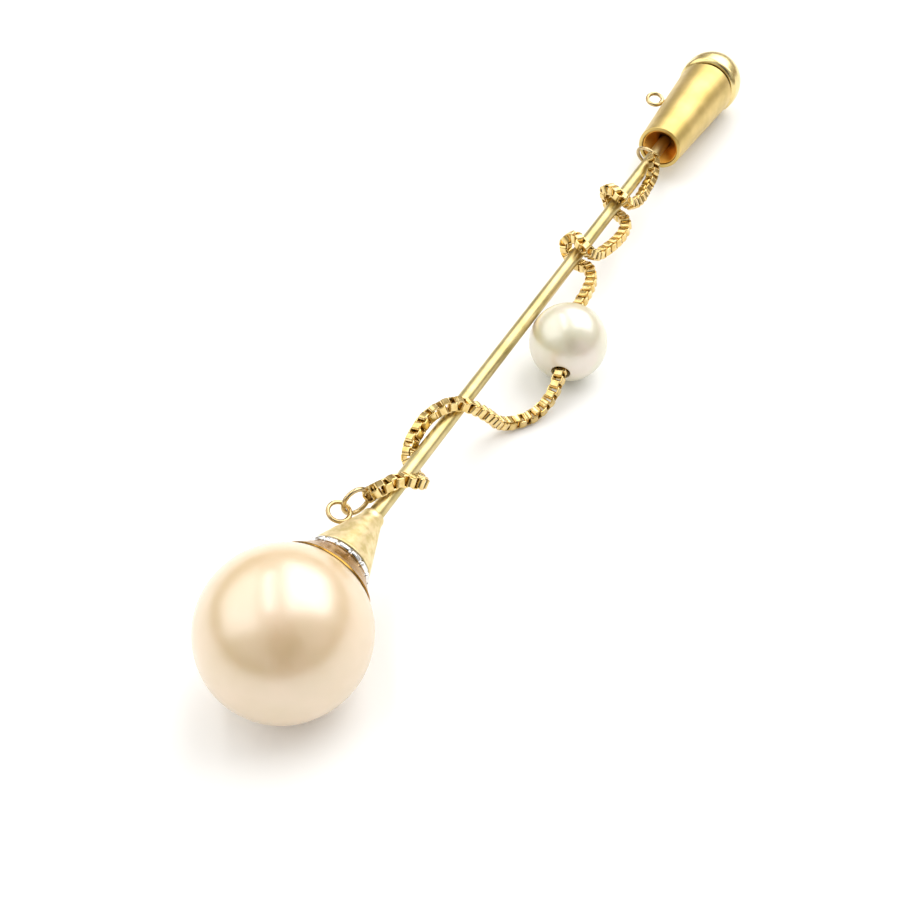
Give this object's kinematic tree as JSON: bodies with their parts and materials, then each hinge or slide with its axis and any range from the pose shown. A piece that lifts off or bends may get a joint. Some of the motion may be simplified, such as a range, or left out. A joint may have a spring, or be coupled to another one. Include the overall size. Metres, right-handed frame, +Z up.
{
  "type": "tie tack",
  "caption": "Long stick pin with a large pearl head, a safety chain wound round the pin with a small pearl on it, and a ball-lock clutch.",
  "frame": {"origin": "on the surface the tack lies on, under the middle of the length from the golden pearl to the pull knob", "axes": "+X along the pin from the pearl to the clutch, +Y to the pin's left seen from the pearl, +Z up"},
  "size_m": [0.0778, 0.0109, 0.01],
  "materials": {
    "golden_nacre": "lustrous cream-gold nacre",
    "white_nacre": "lustrous white nacre",
    "polished_gold": "polished yellow gold",
    "chain_gold": "polished yellow gold, diamond-cut faces",
    "satin_gold": "satin brushed yellow gold",
    "white_gold": "bright white gold",
    "hardened_steel": "polished hardened steel",
    "spring_steel": "spring steel wire"
  },
  "bodies": {
    "root": {"golden_pearl": "golden_nacre", "pearl_peg": "polished_gold", "pearl_cup": "polished_gold", "milled_ring": "white_gold", "cone_cap": "satin_gold", "pin_stem": "polished_gold", "head_eyelet": "polished_gold", "chain_head_run": "chain_gold", "chain_tail_run": "chain_gold"},
    "jump_ring": {"head_jump_ring": "polished_gold"},
    "white_pearl": {"white_pearl": "white_nacre"},
    "tail_ring": {"tail_ring": "polished_gold"},
    "clutch_carrier": {"mouth_bush": "polished_gold"},
    "clutch": {"clutch_barrel": "polished_gold", "side_loop": "polished_gold", "taper_sleeve": "hardened_steel", "end_collar": "polished_gold", "clutch_spring": "spring_steel"},
    "puller": {"ball_cage": "polished_gold", "pull_knob": "polished_gold"},
    "ball_1": {"grip_ball_1": "hardened_steel"},
    "ball_2": {"grip_ball_2": "hardened_steel"},
    "ball_3": {"grip_ball_3": "hardened_steel"}
  },
  "joints": [
    {"name": "jump_ring_swing", "type": "hinge", "parent": "root", "child": "jump_ring", "pos_m": [-0.02416, 0.00122, 0.0054], "axis": [0.893, -0.4492, -0.0287], "range_deg": [-5, 12]},
    {"name": "white_pearl_spin", "type": "hinge", "parent": "root", "child": "white_pearl", "pos_m": [-0.00242, -0.00313, 0.00282], "axis": [0.9501, 0.23, 0.2105], "continuous": true},
    {"name": "tail_ring_swing", "type": "hinge", "parent": "root", "child": "tail_ring", "pos_m": [0.02129, 0.00025, 0.00336], "axis": [-0.3969, -0.4114, 0.8205], "range_deg": [-8, 8]},
    {"name": "clutch_slide", "type": "slide", "parent": "root", "child": "clutch_carrier", "axis": [0.9995, 0, -0.0321], "range_m": [-0.001, 0.014]},
    {"name": "clutch_turn", "type": "hinge", "parent": "clutch_carrier", "child": "clutch", "pos_m": [0.02609, 0, 0.00307], "axis": [0.9995, 0, -0.0321], "continuous": true},
    {"name": "knob_pull", "type": "slide", "parent": "clutch", "child": "puller", "axis": [0.9995, 0, -0.0321], "range_m": [0, 0.0012], "stiffness_N_per_m": 1500, "springref_m": -0.0006, "deforming": ["clutch_spring"]},
    {"name": "ball_1_release", "type": "slide", "parent": "puller", "child": "ball_1", "axis": [0.0321, 0, 0.9995], "range_m": [0, 0.0002]},
    {"name": "ball_2_release", "type": "slide", "parent": "puller", "child": "ball_2", "axis": [-0.0161, -0.866, -0.4997], "range_m": [0, 0.0002]},
    {"name": "ball_3_release", "type": "slide", "parent": "puller", "child": "ball_3", "axis": [-0.0161, 0.866, -0.4997], "range_m": [0, 0.0002]}
  ],
  "couplings": [
    {"joint": "ball_1_release", "follows": "knob_pull", "ratio": 0.16667},
    {"joint": "ball_2_release", "follows": "knob_pull", "ratio": 0.16667},
    {"joint": "ball_3_release", "follows": "knob_pull", "ratio": 0.16667}
  ]
}
